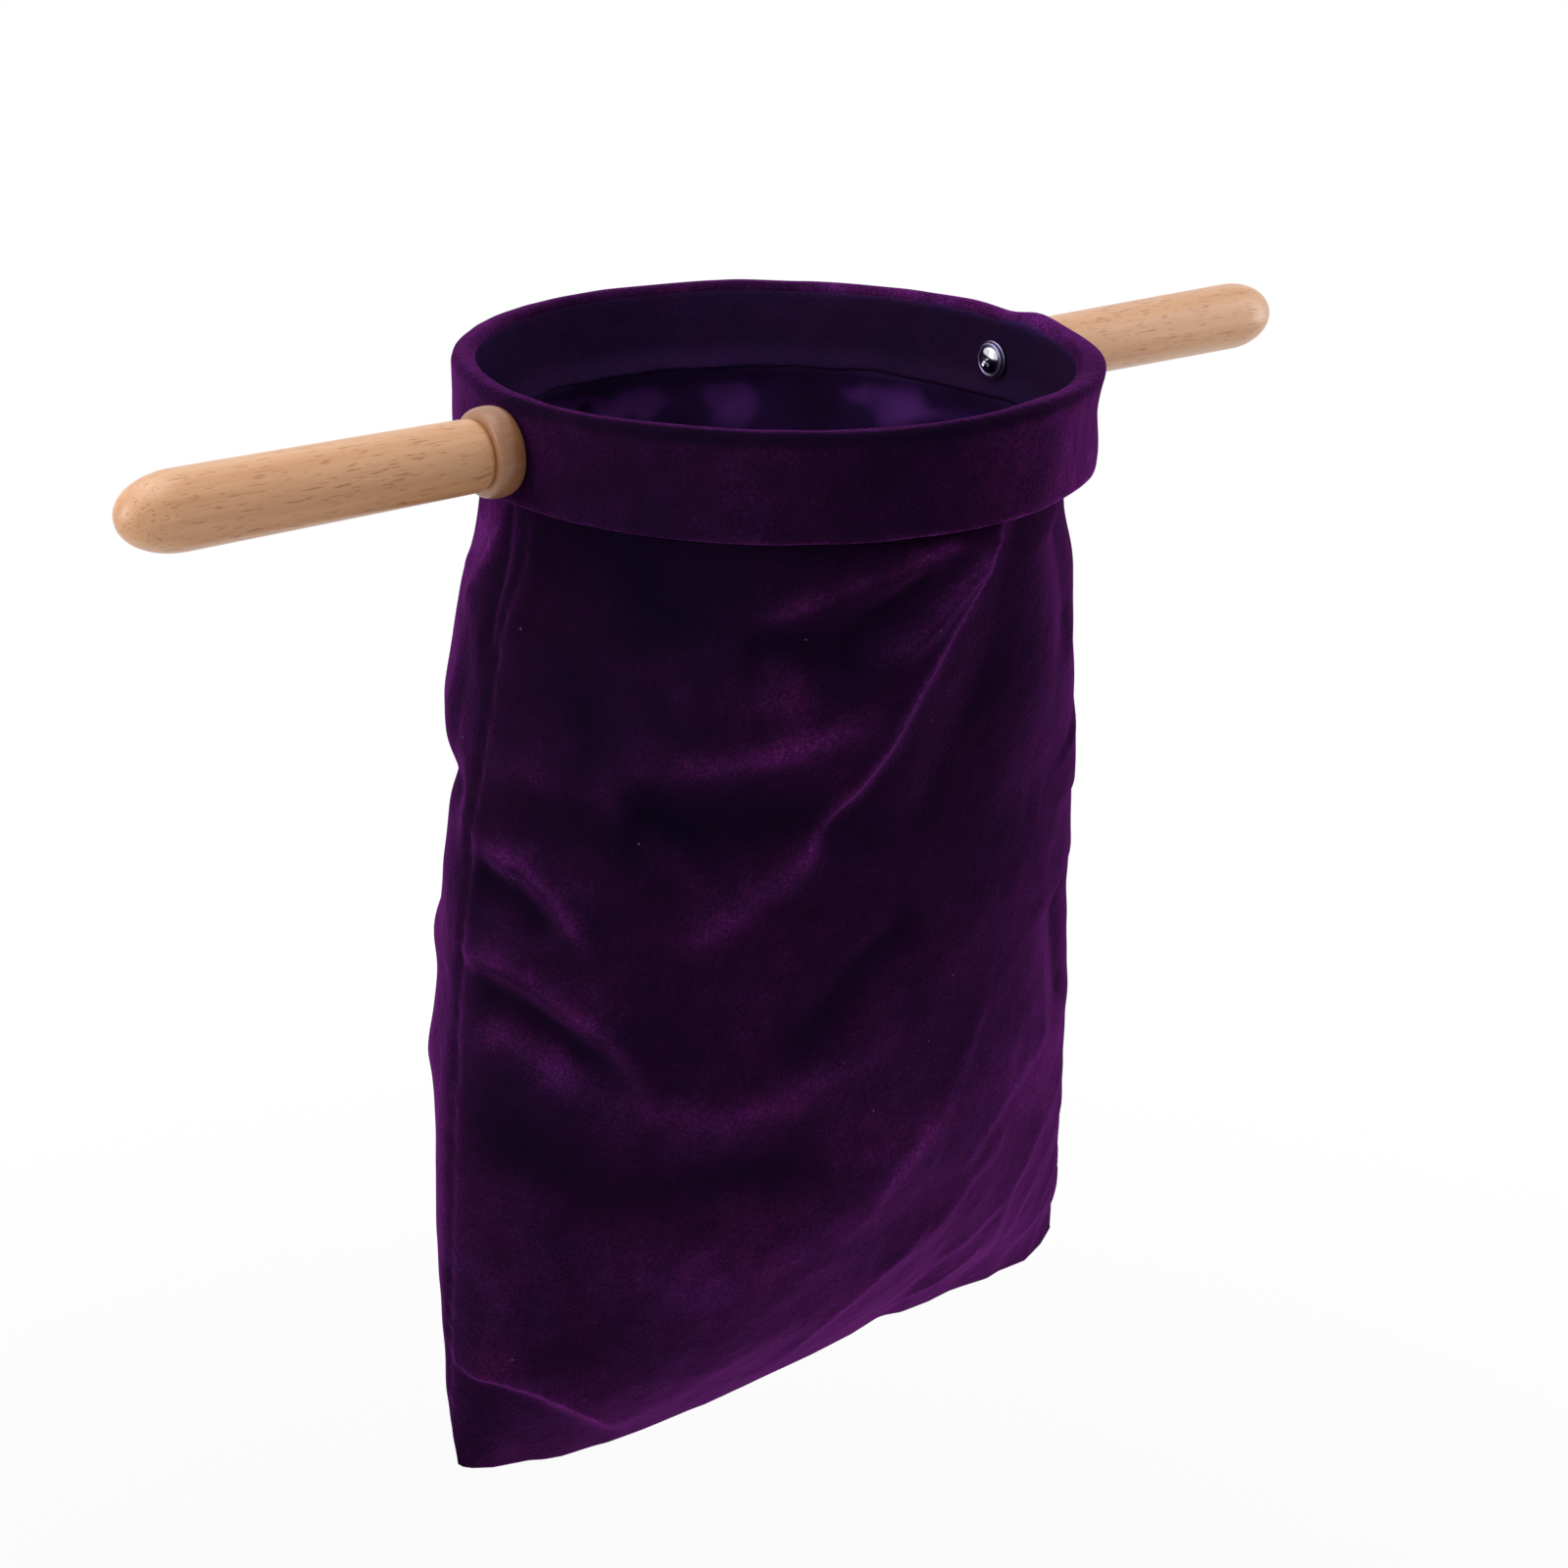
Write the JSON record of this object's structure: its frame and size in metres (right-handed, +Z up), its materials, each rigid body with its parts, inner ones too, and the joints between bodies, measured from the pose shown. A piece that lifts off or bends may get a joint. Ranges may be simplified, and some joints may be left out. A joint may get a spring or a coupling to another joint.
{
  "type": "offertory bag",
  "caption": "Velvet pouch with a satin lining, hung from a round velvet-covered band between turned wooden handles.",
  "frame": {"origin": "below the centre of the band, level with the pouch's bottom seam", "axes": "+X along the handles towards the right one, -Y towards the front panel, +Z up through the mouth"},
  "size_m": [0.5106, 0.23, 0.4325],
  "materials": {
    "velvet": "deep purple velvet pile",
    "satin": "glossy purple satin",
    "thread": "spun sewing thread",
    "plywood": "bent plywood, unfinished",
    "beech": "turned beech, satin lacquer",
    "brass": "turned",
    "chrome": "polished plating"
  },
  "bodies": {
    "rim": {"hoop": "plywood", "rim_cover": "velvet", "cover_seam_thread": "thread", "left_screw": "chrome", "right_screw": "chrome", "left_washer": "chrome", "right_washer": "chrome"},
    "pouch": {"front_panel": "velvet", "back_panel": "velvet", "front_lining": "satin", "back_lining": "satin", "left_seam_thread": "thread", "right_seam_thread": "thread", "bottom_seam_thread": "thread"},
    "left_thread": {"left_insert": "brass"},
    "left_grip_body": {"left_handle": "beech"},
    "right_thread": {"right_insert": "brass"},
    "right_grip_body": {"right_handle": "beech"}
  },
  "joints": [
    {"name": "pouch_swing", "type": "hinge", "parent": "rim", "child": "pouch", "pos_m": [0, 0, 0.396], "axis": [1, 0, 0], "range_deg": [-15, 15]},
    {"name": "left_unscrew", "type": "slide", "parent": "rim", "child": "left_thread", "axis": [-1, 0, 0], "range_m": [0, 0.012]},
    {"name": "left_turn", "type": "hinge", "parent": "left_thread", "child": "left_grip_body", "pos_m": [-0.1153, 0, 0.41425], "axis": [-1, 0, 0], "range_deg": [0, 4320]},
    {"name": "right_unscrew", "type": "slide", "parent": "rim", "child": "right_thread", "axis": [1, 0, 0], "range_m": [0, 0.012]},
    {"name": "right_turn", "type": "hinge", "parent": "right_thread", "child": "right_grip_body", "pos_m": [0.1153, 0, 0.41425], "axis": [1, 0, 0], "range_deg": [0, 4320]}
  ],
  "couplings": [
    {"joint": "left_unscrew", "follows": "left_turn", "m_per_rad": 0.00015915},
    {"joint": "right_unscrew", "follows": "right_turn", "m_per_rad": 0.00015915}
  ]
}
